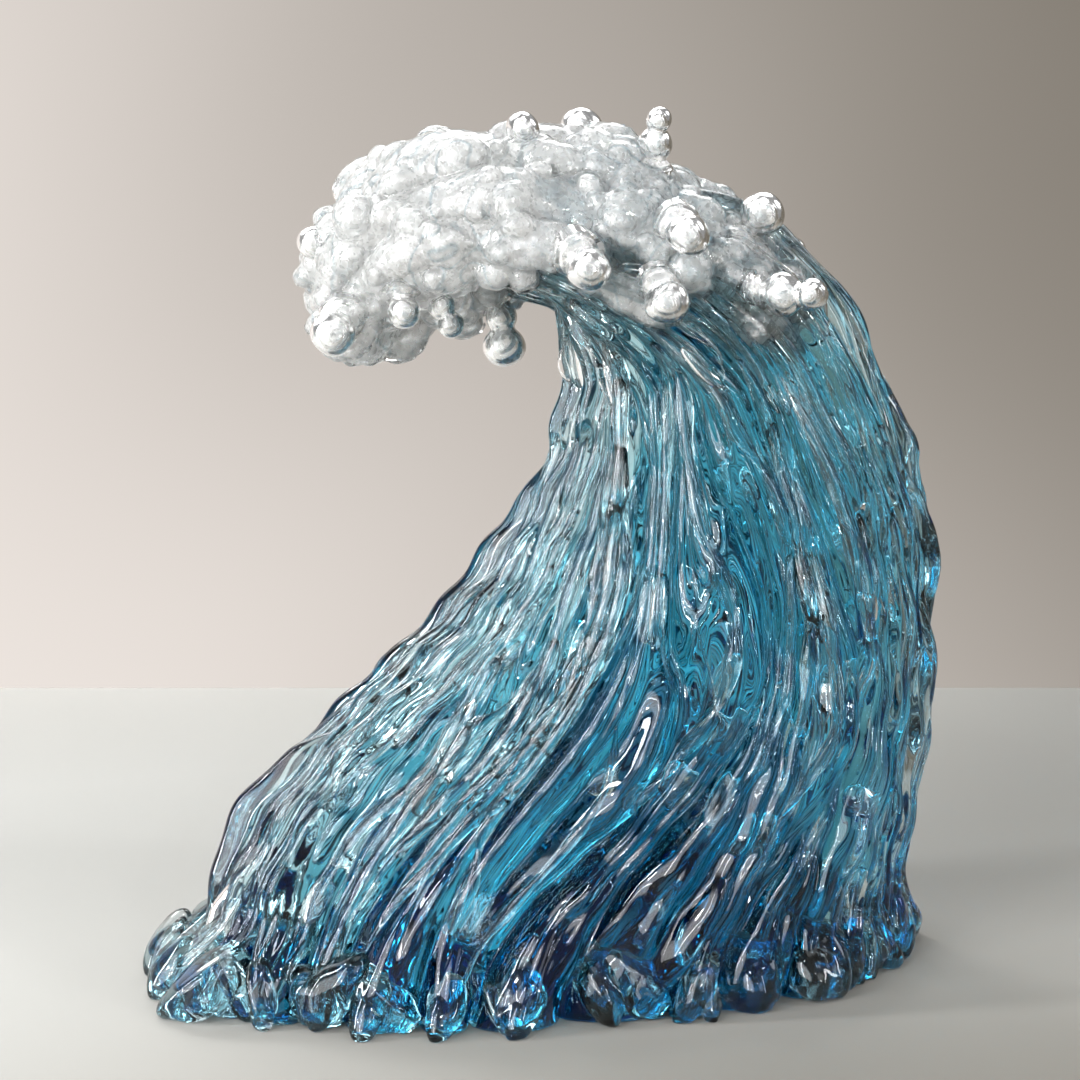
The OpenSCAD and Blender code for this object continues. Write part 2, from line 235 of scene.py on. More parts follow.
def tube_mesh(name, grid):
    """Closed mesh from a grid of points in millimetres: rings in the rows, closed round the columns."""
    rows, cols = grid.shape[:2]
    verts = grid.reshape(-1, 3) * MM
    r, c = np.meshgrid(np.arange(rows - 1), np.arange(cols), indexing="ij")
    p = r * cols + c
    q = r * cols + (c + 1) % cols
    quads = np.stack([p, p + cols, q + cols, q], -1).reshape(-1, 4)
    low_cap = list(range(cols))
    high_cap = [(rows - 1) * cols + i for i in range(cols - 1, -1, -1)]
    faces = quads.tolist() + [low_cap, high_cap]
    mesh = bpy.data.meshes.new(name)
    mesh.from_pydata(verts.tolist(), [], faces)
    mesh.update()
    smooth = np.ones(len(faces), bool)
    smooth[-2:] = False
    mesh.polygons.foreach_set("use_smooth", smooth)
    flow = mesh.uv_layers.new(name="flow")
    around = np.stack([c, c, c + 1, c + 1], -1).reshape(-1) / cols
    along = np.stack([r, r + 1, r + 1, r], -1).reshape(-1) / (rows - 1)
    uv = np.zeros((len(mesh.loops), 2))
    uv[:around.size, 0], uv[:around.size, 1] = around, along
    flow.data.foreach_set("uv", uv.ravel())
    obj = bpy.data.objects.new(name, mesh)
    bpy.context.scene.collection.objects.link(obj)
    return obj


# The blue body: toes on the table, a rounded trail above each of them, and strands laid along all

COLUMNS_PER_TRAIL = 28
BODY_ROWS = 440
BODY_TOP = 1.52
BODY_BLEND = 8
TRAIL_SHARE = 0.6
STRANDS_PER_TRAIL = 2
LAID_STRANDS = 60
LAID_SHARE = 0.9
COARSE, COARSE_HEIGHT = 1.6, 0.55
FINE_POWER, LAID_POWER = 5, 6
STRAND_SOFT = 3
BODY_LUMP = 1.6
FOAM_COVERED, COVERED_FROM, COVERED_OVER = 0.85, 1.5, 2
TOE_CALM = 20
TOE_ROW, TIP_ROW = 7, 60


def arch_profile(x):
    """Half circle over -1 to 1, nothing outside."""
    return np.sqrt(np.clip(1 - x * x, 0, 1))


def toe_rise(k, height):
    """Toes stand out a little above the table, are tucked in under that, and thin out into their trails."""
    a = 360 * (k + 0.5) / TRAILS
    off_front = np.minimum(a, 360 - a) / 30
    reach = TOE_REACH * (1 + 0.5 * vary(k, 1)) + TIP_REACH * np.exp(-off_front ** 2)
    middle = TOE_HEIGHT * (1 + 0.25 * vary(k, 4))
    off = height - middle
    under = np.sqrt(np.clip(1 - (off / (middle + TOE_TUCK)) ** 2, 0, 1))
    return reach * np.where(off < 0, under, np.exp(-(off / TOE_FALL) ** 2))


def round_distance(u, centre):
    """Distance between trail places, which close on themselves."""
    return (u - centre + TRAILS / 2) % TRAILS - TRAILS / 2


def groove_place(k, g, s):
    """Place of the groove g across the trail k, from 0 to 1."""
    return (g + STRAND_WANDER * sin_deg(310 * s + 137.5 * k + 120 * g)) / STRANDS


def strand_rise(u, s, rise, drawn):
    """Height of a trail that is drawn into three strands, as in the solids, where drawn is 1."""
    k = np.floor(u)
    x = u - k
    first, second = groove_place(k, 1, s), groove_place(k, 2, s)
    share = np.where(x < first, x / first, np.where(x < second, (x - first) / (second - first),
                                                    (x - second) / (1 - second)))
    groove = np.minimum(STRAND_GROOVE, 0.35 * rise) * drawn
    return np.maximum(rise * arch_profile(2 * x - 1) - groove * (1 - sin_deg(180 * share)), 0)


def fine_strands(u, s, width):
    """Height of the fine strands that run the whole way up, each with its own wander and swell."""
    total = np.zeros_like(u)
    count = STRANDS_PER_TRAIL
    for k in range(TRAILS):
        for i in range(count):
            phase = rng.uniform(0, 360, 4)
            centre = k + (i + 0.5 + rng.uniform(-0.3, 0.3)) / count
            centre = centre + 0.5 / count * sin_deg(rng.uniform(200, 400) * s + phase[0])
            centre = centre + 0.07 / count * sin_deg(rng.uniform(500, 1000) * s + phase[1])
            half = rng.uniform(0.45, 0.95) / count * (1 + 0.2 * sin_deg(rng.uniform(200, 700) * s + phase[2]))
            x = round_distance(u, centre) / half
            rise = rng.uniform(0.6, 1.4) * (1 + 0.2 * sin_deg(rng.uniform(200, 700) * s + phase[3]))
            total += (arch_profile(x) * half * width * rise) ** FINE_POWER
    return total ** (1 / FINE_POWER)


def laid_strands(u, s, width):
    """Height of shorter strands that lie over the others and cross them at a slant, with rounded ends."""
    total = np.zeros_like(u)
    for _ in range(LAID_STRANDS):
        start = rng.uniform(-0.1, 1.0)
        length = rng.uniform(0.35, 1.0)
        drift = rng.normal(0, 0.9)
        phase = rng.uniform(0, 360)
        home = rng.uniform(0, TRAILS)
        t = (s - start) / length
        centre = home + drift * t + 0.12 * sin_deg(400 * t + phase)
        at_front = cos_deg(360 * home / TRAILS) > 0.2
        coarse = 1 if at_front else COARSE
        half = coarse * rng.choice([0.15, 0.25, 0.38], p=[0.4, 0.35, 0.25])
        half = half * (1 + 0.3 * sin_deg(rng.uniform(200, 600) * t + phase))
        ends = arch_profile(np.clip(2 * t - 1, -1, 1))
        x = round_distance(u, centre) / half
        tall = rng.uniform(0.5, 1.0) * (1 if at_front else COARSE_HEIGHT)
        total += (arch_profile(x) * half * width * tall * ends) ** LAID_POWER
    return total ** (1 / LAID_POWER)


def body_grid():
    """Points of the blue body, from the table up to where it ends under the foam."""
    rows = np.linspace(0, 1, BODY_ROWS)
    s_rows = BODY_TOP * (0.85 * rows + 0.15 * rows ** 2)
    u_cols = np.arange(TRAILS * COLUMNS_PER_TRAIL) / COLUMNS_PER_TRAIL
    s, u = np.meshgrid(s_rows, u_cols, indexing="ij")
    base = smooth_along(skin_point(s, angle_at(u, s)), BODY_BLEND)
    base[..., 2] = np.maximum(base[..., 2], 0)
    height = base[..., 2]
    width = np.linalg.norm(np.roll(base, -1, 1) - base, axis=-1) * COLUMNS_PER_TRAIL
    out = grid_normals(base)
    out[..., 2] *= np.clip(height / 15, 0, 1)
    out /= np.linalg.norm(out, axis=-1, keepdims=True)
    k = np.floor(u)
    swell = 1 + 0.2 * sin_deg(520 * s + 137.5 * k)
    rise = np.minimum(TRAIL_RISE * swell, 0.6 * width) * TRAIL_SHARE
    top = np.clip((BODY_TOP - s) / 0.1, 0, 1)
    calm = 1 - 0.9 * np.exp(-(height / TOE_CALM) ** 2)
    strands = (fine_strands(u, s, width) + LAID_SHARE * laid_strands(u, s, width)) * calm
    for _ in range(STRAND_SOFT):
        strands = smooth_along((np.roll(strands, 1, 1) + 2 * strands + np.roll(strands, -1, 1)) / 4, 1)
    rise = strand_rise(u, s, rise * top + toe_rise(k, height), calm) + strands * np.sqrt(top)
    covered = np.clip((ring_at(s) - foam_start(np.floor(u / 2)) - COVERED_FROM) / COVERED_OVER, 0, 1)
    rise = rise * (1 - FOAM_COVERED * covered)
    uneven = sin_deg(base[..., 0] * 8 + base[..., 2] * 5) * sin_deg(base[..., 1] * 9 + base[..., 2] * 7)
    p = base + out * (rise + BODY_LUMP * uneven * calm * top)[..., None]
    p[..., 2] = np.maximum(p[..., 2], 0)
    p[0, :, 2] = 0
    return p


# Threads that follow the body's surface: rods laid over it, and lines of air trapped under it

THREAD_SMOOTH = 25
POINTS_PER_S = 170


def between(grid, j, i, fj, fi):
    """Points between the rows j and j + 1 and the columns i and i + 1 of a grid that closes round its columns."""
    cols = grid.shape[1]
    low = grid[j, i % cols] * (1 - fi) + grid[j, (i + 1) % cols] * fi
    high = grid[j + 1, i % cols] * (1 - fi) + grid[j + 1, (i + 1) % cols] * fi
    return low * (1 - fj) + high * fj


def thread_grids(body, count, sides, start_range, length_range, thick_range, depth_range):
    """One grid of points for each thread, with places, sizes and depths picked from the ranges."""
    rows, cols = body.shape[:2]
    out = grid_normals(body)
    grids = []
    for _ in range(count):
        home = (TRAILS * rng.beta(2, 2) + 5) % TRAILS
        start, length = rng.uniform(*start_range), rng.uniform(*length_range)
        thick, depth = rng.uniform(*thick_range), rng.uniform(*depth_range)
        steps = max(int(length * POINTS_PER_S), 8)
        t = np.linspace(0, 1, steps)
        row = np.clip((start + length * t) / BODY_TOP * (rows - 1), 1, rows - 3)
        drift, phase = rng.normal(0, 0.9 * length), rng.uniform(0, 360)
        col = (home + drift * t + 0.15 * sin_deg(500 * length * t + phase)) * cols / TRAILS
        j, i = np.floor(row).astype(int), np.floor(col).astype(int)
        fj, fi = (row - j)[:, None], (col - i)[:, None]
        line, way_out = (smooth_along(between(g, j, i, fj, fi), THREAD_SMOOTH) for g in (body, out))
        line = line - way_out * depth
        along = np.gradient(line, axis=0)
        along /= np.linalg.norm(along, axis=1, keepdims=True)
        side = np.cross(along, way_out)
        side /= np.linalg.norm(side, axis=1, keepdims=True)
        up = np.cross(side, along)
        ends = np.sqrt(np.clip(1 - np.abs(2 * t - 1) ** 8, 0.0004, 1))
        radius = (thick * ends * (1 + 0.25 * sin_deg(2700 * t * length + phase)))[:, None, None]
        turn = np.radians(np.arange(sides) * 360 / sides)[None, :, None]
        grid = line[:, None] + radius * (np.cos(turn) * side[:, None] + np.sin(turn) * up[:, None])
        grid[..., 2] = np.maximum(grid[..., 2], 0)
        grids.append(grid)
    return grids


def blob_mesh(name, blobs, level, uneven, lowest=0):
    """One mesh of many uneven balls, each given by its centre and half axes, flat at the lowest height."""
    points, faces = ball_points(level)
    all_points, all_faces = [], []
    for n, (centre, axes) in enumerate(blobs):
        wave = rng.uniform(-2.2, 2.2, (2, 3))
        swell = 1 + uneven * np.sin(points @ wave[0] * 2 + n) * np.cos(points @ wave[1] + 2 * n)
        all_points.append(centre + (points * swell[:, None]) @ np.array(axes))
        all_faces.append(faces + n * len(points))
    all_points = np.concatenate(all_points)
    all_points[:, 2] = np.maximum(all_points[:, 2], lowest)
    mesh = bpy.data.meshes.new(name)
    mesh.from_pydata((all_points * MM).tolist(), [], np.concatenate(all_faces).tolist())
    mesh.polygons.foreach_set("use_smooth", np.ones(len(mesh.polygons), bool))
    obj = bpy.data.objects.new(name, mesh)
    bpy.context.scene.collection.objects.link(obj)
    return obj


def under_surface(body, count, rows, depth, length, width, thick, tilt=0.35):
    """Places under the body's surface with half axes along the flow, across it and through it."""
    out = grid_normals(body)
    blobs = []
    for _ in range(count):
        j = int(rng.uniform(*rows) * body.shape[0])
        i = int(rng.uniform(0, body.shape[1]))
        way_out = out[j, i]
        along = body[j + 6, i] - body[j, i] + rng.normal(0, 0.6, 3)
        along -= way_out * (along @ way_out)
        along /= np.linalg.norm(along)
        way_out = way_out + rng.normal(0, tilt, 3)
        way_out -= along * (way_out @ along)
        way_out /= np.linalg.norm(way_out)
        side = np.cross(way_out, along)
        centre = body[j, i] - out[j, i] * rng.uniform(*depth)
        axes = (along * rng.uniform(*length), side * rng.uniform(*width), way_out * rng.uniform(*thick))
        blobs.append((centre, axes))
    return blobs


def toe_lobes(body):
    """Low round lobes along the foot, between and over the toes, and the long lobe at the tip."""
    out = grid_normals(body)
    along = body[TIP_ROW, 0] - body[TOE_ROW, 0]
    along /= np.linalg.norm(along)
    side = np.cross(along, (0, 0, 1))
    side /= np.linalg.norm(side)
    up = np.cross(side, along)
    blobs = [(body[TOE_ROW, 0] + along * 8, (along * 17, side * 8.5, up * 9))]
    i = 8.0
    while i < body.shape[1] - 8:
        half = rng.choice([4.5, 6.5, 9, 11.5], p=[0.3, 0.35, 0.2, 0.15]) * rng.uniform(0.85, 1.15)
        tall = rng.uniform(7, 11) + 0.35 * half
        at, way_out = body[TOE_ROW, int(i)], out[TOE_ROW, int(i)] * (1, 1, 0)
        way_out = way_out / np.linalg.norm(way_out)
        side = np.array([-way_out[1], way_out[0], 0])
        centre = at - way_out * rng.uniform(0.6, 1.0) * half
        centre[2] = tall * rng.uniform(0.75, 0.95)
        up = np.array([0, 0, 1]) - way_out * rng.uniform(0.1, 0.6) + side * rng.normal(0, 0.25)
        blobs.append((centre, (way_out * half * 1.1, side * half, up * tall)))
        i += half * rng.uniform(0.8, 2.2) / 0.75
    return blobs


def join(objects, name):
    """Makes one object of several."""
    bpy.ops.object.select_all(action="DESELECT")
    for o in objects:
        o.select_set(True)
    bpy.context.view_layer.objects.active = objects[0]
    bpy.ops.object.join()
    objects[0].name = name
    return objects[0]


# The darker core gather inside the body

CORE_TOP = 1.5
CORE_SUNK = 1.0
FRONT_SUNK = 9
FOOT_CORE_AT = (38, 0, 0)
FOOT_CORE_AXES = (64, 42, 105)


def core_grid():
    """Points of the core: the skin sunk a little all round, and more on the front."""
    s_rows = np.linspace(0.004, CORE_TOP, 180)
    u_cols = np.arange(TRAILS * 6) / 6
    s, u = np.meshgrid(s_rows, u_cols, indexing="ij")
    p = smooth_along(skin_point(s, angle_at(u, s)), 2)
    sunk = CORE_SUNK + FRONT_SUNK * np.clip(cos_deg(360 * u / TRAILS), 0, 1)
    p = p - grid_normals(p) * sunk[..., None]
    p[..., 2] = np.maximum(p[..., 2], CORE_SUNK)
    return p


# The foam: the hood with its foam trails, and lumps run together all over it

FOAM_ROWS, FOAM_COLUMNS = 220, 14
LUMPS = 540
BIG_LUMPS = 0.12
THIN_RINGS = 3.5
SINK = 3
SWIRL = 0.16
VOXEL = 0.85
MILK_INSET, MILK_SHARE = 2.2, 0.7


def foam_height(m, ring):
    """Height of the foam trail m over the skin, as in the solids."""
    start, last = foam_start(m), LAST_RING - 1
    hollow_side = 0.5 + 0.5 * cos_deg(360 * (m + 0.5) / (TRAILS / 2))
    grow = 0.45 + 0.55 * sin_deg(90 * np.clip((ring - start) / 2, 0, 1))
    fall = 0.3 + 0.7 * sin_deg(90 * np.clip((last - ring) / 2, 0, 1))
    return (FOAM_RISE * (1 - 0.4 * hollow_side) + FOAM_LUMP * sin_deg(97 * ring + 137.5 * m)) * grow * fall


def foam_grid():
    """Points of the skin under the foam, their directions out, the foam's height, and where it has begun."""
    s_rows = np.concatenate([np.linspace(1.02, 2, FOAM_ROWS), np.linspace(2, 2.85, 24)[1:]])
    u_cols = np.arange(TRAILS * FOAM_COLUMNS) / FOAM_COLUMNS
    s, u = np.meshgrid(s_rows, u_cols, indexing="ij")
    base = smooth_along(skin_point(s, angle_at(u, s)), 3)
    out = grid_normals(base)
    m = np.floor(u / 2)
    ring = ring_at(s)
    height = foam_height(m, ring) * arch_profile(u - 2 * m - 1) ** FOAM_FULLNESS
    begun = np.clip((ring - foam_start(m)) / 0.6, 0, 1)
    middle = base.mean(1, keepdims=True)
    sunk = np.clip((foam_start(m) - ring) / 2, 0, 1)[..., None]
    base = base + (middle - base) * 0.9 * sunk
    thick = np.clip((ring - foam_start(m) - 0.3) / THIN_RINGS, 0, 1)
    return base, out, -SINK + (height + SINK) * begun * (0.25 + 0.75 * thick), begun


def ball_points(level=3):
    """Points and faces of a unit ball."""
    mesh = bpy.data.meshes.new("ball")
    bm = bmesh.new()
    bmesh.ops.create_icosphere(bm, subdivisions=level, radius=1)
    bm.to_mesh(mesh)
    bm.free()
    points = np.zeros(len(mesh.vertices) * 3)
    mesh.vertices.foreach_get("co", points)
    faces = np.array([f.vertices[:] for f in mesh.polygons])
    bpy.data.meshes.remove(mesh)
    return points.reshape(-1, 3), faces


def lumps():
    """Centres, directions and half axes of the lumps that make the foam."""
    base, out, height, begun = foam_grid()
    area = np.linalg.norm(np.cross(np.gradient(base, axis=0), np.roll(base, -1, 1) - base), axis=-1)
    weight = (area * (begun > 0.5) * (1 + 1.5 * (base[..., 0] > 10))).ravel()
    picks = rng.choice(weight.size, LUMPS, p=weight / weight.sum())
    along = np.gradient(base, axis=0)
    along /= np.linalg.norm(along, axis=-1, keepdims=True)
    result = []
    for at in picks:
        j, i = np.unravel_index(at, begun.shape)
        n, t = out[j, i], along[j, i]
        r = rng.uniform(5, 8) if rng.uniform() < BIG_LUMPS else np.clip(rng.lognormal(1.3, 0.35), 2, 6)
        t = t + rng.normal(0, 0.5, 3)
        t -= n * (t @ n)
        t /= np.linalg.norm(t)
        centre = base[j, i] + n * (max(height[j, i], 0) * rng.uniform(0.4, 0.9) + 0.25 * r)
        axes = (r * rng.uniform(1, 1.6), r * rng.uniform(0.85, 1.1), r * rng.uniform(0.85, 1.1))
        result.append((centre, t, n, axes))
    return result


def foam_mesh(name, places, inset, share):
    """The foam trails with the lumps on them: smaller by inset, with lumps of a share of their size."""
    base, out, height, _ = foam_grid()
    hull = tube_mesh(name, base + out * (height - inset)[..., None])
    points, faces = ball_points()
    all_points, all_faces = [], []
    for count, (centre, t, n, axes) in enumerate(places):
        side = np.cross(n, t)
        shape = points[:, :1] * t * axes[0] + points[:, 1:2] * side * axes[1] + points[:, 2:] * n * axes[2]
        all_points.append(centre + shape * share)
        all_faces.append(faces + count * len(points))
    mesh = bpy.data.meshes.new("lumps")
    mesh.from_pydata((np.concatenate(all_points) * MM).tolist(), [], np.concatenate(all_faces).tolist())
    extra = bpy.data.objects.new("lumps", mesh)
    bpy.context.scene.collection.objects.link(extra)
    foam = fuse([hull, extra], name, VOXEL)
    relax(foam, 3)
    ripple(foam, SWIRL)
    foam.data.polygons.foreach_set("use_smooth", np.ones(len(foam.data.polygons), bool))
    return foam


def fuse(objects, name, voxel):
    """One closed mesh round all the objects, which are removed."""
    first = objects[0]
    bpy.ops.object.select_all(action="DESELECT")
    for o in objects:
        o.select_set(True)
    bpy.context.view_layer.objects.active = first
    bpy.ops.object.join()
    remesh = first.modifiers.new("remesh", "REMESH")
    remesh.mode = "VOXEL"
    remesh.voxel_size = voxel * MM
    mesh = bpy.data.meshes.new_from_object(first.evaluated_get(bpy.context.evaluated_depsgraph_get()))
    bpy.data.objects.remove(first)
    obj = bpy.data.objects.new(name, mesh)
    bpy.context.scene.collection.objects.link(obj)
    return obj


def ripple(obj, height):
    """Pushes the points of a mesh in and out along a winding pattern."""
    mesh = obj.data
    co, normals = np.zeros(len(mesh.vertices) * 3), np.zeros(len(mesh.vertices) * 3)
    mesh.vertices.foreach_get("co", co)
    mesh.vertices.foreach_get("normal", normals)
    p = co.reshape(-1, 3) / MM
    q = p + 2.5 * np.sin(p[:, [1, 2, 0]] / 3.1) + 4 * np.sin(p[:, [2, 0, 1]] / 7.3)
    push = np.sin(q[:, 0] / 1.1) * np.sin(q[:, 1] / 1.5 + 1) + 0.8 * np.sin(q[:, 2] / 0.9 + q[:, 0] / 2.3)
    co += (normals.reshape(-1, 3) * (push * height * MM)[:, None]).ravel()
    mesh.vertices.foreach_set("co", co)
    mesh.update()


def relax(obj, times, share=0.5):
    """Evens out a mesh: each point moves towards the middle of its neighbours."""
    mesh = obj.data
    edges = np.zeros(len(mesh.edges) * 2, int)
    mesh.edges.foreach_get("vertices", edges)
    a, b = edges.reshape(-1, 2).T
    co = np.zeros(len(mesh.vertices) * 3)
    mesh.vertices.foreach_get("co", co)
    co = co.reshape(-1, 3)
    count = np.bincount(a, minlength=len(co)) + np.bincount(b, minlength=len(co))
    for _ in range(times):
        total = np.stack([np.bincount(a, co[b, i], len(co)) + np.bincount(b, co[a, i], len(co))
                          for i in range(3)], -1)
        co = co + share * (total / count[:, None] - co)
    mesh.vertices.foreach_set("co", co.ravel())
    mesh.update()


# Drops: balls on short necks that grow from the foam trails

DROP_MILK = 0.82
DROP_LOW = -4.0
DROP_ROWS, DROP_COLUMNS = 72, 56
DROP_BLEND = 5
DROP_SIDE = (0.3, -0.8, 0.5)


def corner(k, ring):
    """Point of the skin at the edge k of the trails."""
    s = np.array(1 + (ring - BODY_RINGS) / CREST_RINGS)
    return skin_point(s, edge_angle(np.array(float(k % TRAILS)), s))


def travel_at(ring):
    """Direction in which the wave runs on from a ring."""
    _, way, _, _ = ring_frame(np.array(1 + (ring - BODY_RINGS) / CREST_RINGS))
    return np.array([-way[1], 0, way[0]])


def foam_top(m, ring, step):
    """Point of the foam trail m at one of the nine steps of its arch, 4 being the top."""
    a, b = corner(2 * m, ring), corner(2 * m + 2, ring)
    out = np.cross(travel_at(ring), b - a)
    out /= np.linalg.norm(out)
    up = foam_height(m, ring) * sin_deg(22.5 * step) ** FOAM_FULLNESS
    return a + (b - a) * (1 - cos_deg(22.5 * step)) / 2 + out * up


def drop_mesh(name, degrees, place, radius, pull, second):
    """The clear drop and the milky glass inside it."""
    m = int(degrees / 360 * TRAILS / 2)
    ring = int(min(max(BODY_RINGS + round(place * CREST_RINGS), foam_start(m) + 1), LAST_RING - 2))
    seat = foam_top(m, ring, 4)
    along = foam_top(m, ring + 1, 4) - foam_top(m, ring - 1, 4)
    across = foam_top(m, ring, 5) - foam_top(m, ring, 3)
    out = np.cross(along, across)
    way = out / np.linalg.norm(out) + np.array(pull)
    way /= np.linalg.norm(way)
    first_at = DROP_NECK + 0.95 * radius
    end = first_at + radius
    second_at = first_at + (1 - BALL_MERGE) * (radius + second)
    if second:
        end = second_at + second
    x = DROP_LOW + (end - DROP_LOW) * (1 - np.cos(np.linspace(0, math.pi, DROP_ROWS))) / 2
    ball = np.sqrt(np.clip(radius ** 2 - (x - first_at) ** 2, 0, None))
    neck = radius * (0.5 + 0.65 * np.exp(-np.maximum(x, 0) / 1.8)) * (x < first_at)
    other = np.sqrt(np.clip(second ** 2 - (x - second_at) ** 2, 0, None)) if second else 0 * x
    waist = 0.5 * min(radius, second or radius) * ((x > first_at) & (x < second_at)) if second else 0 * x
    r = sum(part ** DROP_BLEND for part in (ball, neck, other, waist)) ** (1 / DROP_BLEND)
    side = np.cross(way, DROP_SIDE)
    side /= np.linalg.norm(side)
    up = np.cross(way, side)
    turn = np.radians(np.arange(DROP_COLUMNS) * 360 / DROP_COLUMNS)[None, :, None]
    phase = rng.uniform(0, 6.28, 4)
    oval = 0.05 * np.sin(2 * turn + phase[0] + 0.25 * x[:, None, None])
    dents = 0.025 * np.sin(3 * turn + phase[1] - 0.4 * x[:, None, None])
    uneven = 1 + oval + dents
    ring_points = (np.cos(turn) * side + np.sin(turn) * up) * r[:, None, None] * uneven
    bend = 0.06 * radius * np.sin(x / radius + phase[2])[:, None, None] * up
    spine = seat + way * x[:, None, None] + bend
    outer = tube_mesh("glass_" + name, spine + ring_points)
    middle = seat + way * first_at
    inner = tube_mesh("milk_" + name, middle + DROP_MILK * (spine + ring_points - middle))
    return outer, inner


# Materials

def new_material(name):
    """A material with an empty node tree, and the tree."""
    m = bpy.data.materials.new(name)
    m.use_nodes = True
    m.node_tree.nodes.clear()
    return m, m.node_tree


def node(tree, kind, **inputs):
    """A node with some of its inputs set; an underscore stands for a space in an input's name."""
    n = tree.nodes.new(kind)
    for key, value in inputs.items():
        n.inputs[key.replace("_", " ")].default_value = value
    return n


def ramp_node(tree, stops):
    """Colour ramp with stops of place and colour."""
    n = tree.nodes.new("ShaderNodeValToRGB")
    e = n.color_ramp.elements
    while len(e) < len(stops):
        e.new(0.5)
    for element, (place, colour) in zip(e, stops):
        element.position = place
        element.color = (*colour, 1)
    return n


def noise(tree, source, scale, detail=3.0, stretch=(1, 1, 1)):
    """Noise over the given coordinates, stretched by direction."""
    m = node(tree, "ShaderNodeMapping", Scale=stretch)
    tree.links.new(source, m.inputs["Vector"])
    n = node(tree, "ShaderNodeTexNoise", Scale=float(scale), Detail=detail)
    tree.links.new(m.outputs[0], n.inputs["Vector"])
    return n.outputs["Fac"]


def maths(tree, operation, first, second=None):
    """Result of one sum on outputs of other nodes; the second may be a plain number."""
    n = tree.nodes.new("ShaderNodeMath")
    n.operation = operation
    tree.links.new(first, n.inputs[0])
    if isinstance(second, (int, float)):
        n.inputs[1].default_value = second
    elif second is not None:
        tree.links.new(second, n.inputs[1])
    return n.outputs[0]


def ranged(tree, value, low, high, start=0.3, end=0.7):
    """The value from start to end, spread over low to high."""
    n = tree.nodes.new("ShaderNodeMapRange")
    for key, number in (("From Min", start), ("From Max", end), ("To Min", low), ("To Max", high)):
        n.inputs[key].default_value = number
    tree.links.new(value, n.inputs["Value"])
    return n.outputs["Result"]


CLEAR = ((1, 1, 1), (1, 1, 1))
PALE_BLUE = ((0.8, 0.93, 0.97), (1, 1, 1))
NEAR_WHITE = ((0.97, 0.99, 0.99), (1, 1, 1))
SOFT_BLUE = ((0.8, 0.93, 0.96), (1, 1, 1))
BODY_BLUE = (0.0, 0.74, 0.885)
GLASS_IOR = 1.5
SINE_TURNS = 28


def glass_material(name, tints, rough, absorb=(1, 1, 1), density=0, bump=None, transmission=(1, 1),
                   ior=GLASS_IOR, tint_field=("Object", 60, (1, 1, 1))):
    """Glass with two tints in streaks, faint roughness, one bump and plain absorption inside."""
    m, t = new_material(name)
    out = t.nodes.new("ShaderNodeOutputMaterial")
    p = node(t, "ShaderNodeBsdfPrincipled", IOR=ior)
    place = t.nodes.new("ShaderNodeTexCoord")
    field, scale, stretch = tint_field
    streaks = noise(t, place.outputs[field], scale, 4.0, stretch)
    ramp = ramp_node(t, [(0.35, tints[0]), (0.65, tints[1])])
    t.links.new(streaks, ramp.inputs["Fac"])
    t.links.new(ramp.outputs["Color"], p.inputs["Base Color"])
    fine = noise(t, place.outputs["Object"], 260)
    t.links.new(ranged(t, fine, *rough), p.inputs["Roughness"])
    if transmission[0] == transmission[1]:
        p.inputs["Transmission Weight"].default_value = transmission[0]
    else:
        mottle = noise(t, place.outputs["Object"], 420, 5.0)
        t.links.new(ranged(t, mottle, *transmission), p.inputs["Transmission Weight"])
    if bump:
        scale, strength = bump
        b = node(t, "ShaderNodeBump", Strength=strength, Distance=0.001)
        t.links.new(noise(t, place.outputs["Object"], scale), b.inputs["Height"])
        t.links.new(b.outputs["Normal"], p.inputs["Normal"])
    t.links.new(p.outputs["BSDF"], out.inputs["Surface"])
    if density:
        v = node(t, "ShaderNodeVolumeAbsorption", Density=float(density))
        v.inputs["Color"].default_value = (*absorb, 1)
        t.links.new(v.outputs["Volume"], out.inputs["Volume"])
    return m


def swirled_material(name, clear, line_colour):
    """White glass, partly clear, with fine lines that swirl round, and fine sparkle."""
    m, t = new_material(name)
    out = t.nodes.new("ShaderNodeOutputMaterial")
    p = node(t, "ShaderNodeBsdfPrincipled", IOR=GLASS_IOR, Transmission_Weight=clear)
    place = t.nodes.new("ShaderNodeTexCoord").outputs["Object"]
    wave = maths(t, "SINE", maths(t, "MULTIPLY", noise(t, place, 65, 0.0), SINE_TURNS))
    lines = ranged(t, wave, 0, 1, 0.7, 1)
    patches = ranged(t, noise(t, place, 40, 1.0), 0.2, 1, 0.4, 0.55)
    ramp = ramp_node(t, [(0.0, (1.0, 1.0, 0.99)), (1.0, line_colour)])
    t.links.new(maths(t, "MULTIPLY", lines, patches), ramp.inputs["Fac"])
    t.links.new(ramp.outputs["Color"], p.inputs["Base Color"])
    t.links.new(ranged(t, noise(t, place, 500), 0.1, 0.5), p.inputs["Roughness"])
    fine = node(t, "ShaderNodeBump", Strength=0.25, Distance=0.001)
    t.links.new(noise(t, place, 260), fine.inputs["Height"])
    broad = node(t, "ShaderNodeBump", Strength=0.7, Distance=0.002)
    t.links.new(noise(t, place, 140), broad.inputs["Height"])
    t.links.new(fine.outputs["Normal"], broad.inputs["Normal"])
    t.links.new(broad.outputs["Normal"], p.inputs["Normal"])
    t.links.new(p.outputs["BSDF"], out.inputs["Surface"])
    return m


# Materials of the pieces

